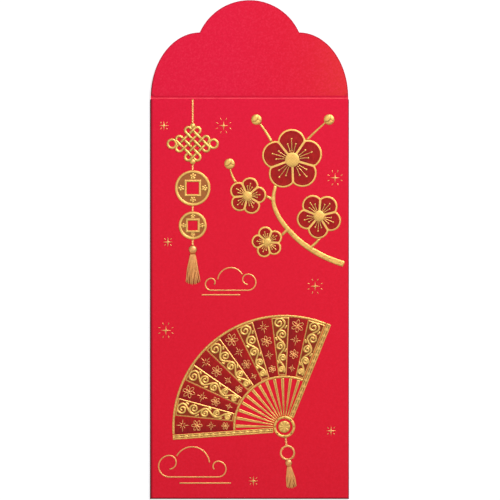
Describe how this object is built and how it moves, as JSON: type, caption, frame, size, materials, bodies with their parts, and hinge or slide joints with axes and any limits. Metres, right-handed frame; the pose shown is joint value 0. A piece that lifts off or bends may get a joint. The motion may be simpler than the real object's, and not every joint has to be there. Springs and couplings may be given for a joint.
{
  "type": "red envelope",
  "caption": "Flat red paper gift envelope with a scalloped closing flap, folded and glued from a die-cut sheet, its front printed in gold foil and dark red.",
  "frame": {"origin": "middle of the open envelope's outline, on the surface that its back lies on", "axes": "+X to the right seen from the front, +Y along the length towards the flap, +Z out of the printed front"},
  "size_m": [0.085, 0.2131, 0.0014],
  "materials": {
    "red_paper": "fine-grained matte dyed paper",
    "dried_glue": "dried white glue film",
    "gold_foil": "embossed hot-stamped gold foil",
    "dark_red_ink": "satin dark-red print"
  },
  "bodies": {
    "envelope": {"front_panel": "red_paper", "left_side_fold": "red_paper", "right_side_fold": "red_paper", "back_panel": "red_paper", "side_glue_tab": "red_paper", "bottom_fold": "red_paper", "bottom_flap": "red_paper", "side_seam_glue": "dried_glue", "bottom_seam_glue": "dried_glue", "flap_crease": "red_paper", "fan_gold_pleats": "gold_foil", "fan_red_pleats": "dark_red_ink", "fan_rims": "gold_foil", "fan_sticks": "gold_foil", "fan_guards": "gold_foil", "fan_hub": "gold_foil", "fan_pendant": "gold_foil", "string_cords": "gold_foil", "woven_knot": "gold_foil", "upper_coin": "gold_foil", "lower_coin": "gold_foil", "string_tassel": "gold_foil", "blossom_petals": "dark_red_ink", "blossom_grounds": "gold_foil", "plum_branch": "gold_foil", "plum_buds": "gold_foil", "cloud_scrolls": "gold_foil", "sparkles": "gold_foil"},
    "flap": {"top_flap": "red_paper"}
  },
  "joints": [
    {"name": "flap_fold", "type": "hinge", "parent": "envelope", "child": "flap", "pos_m": [0, 0.06495, 0.00064], "axis": [-1, 0, 0], "range_deg": [0, 180], "deforming": ["flap_crease"]}
  ]
}
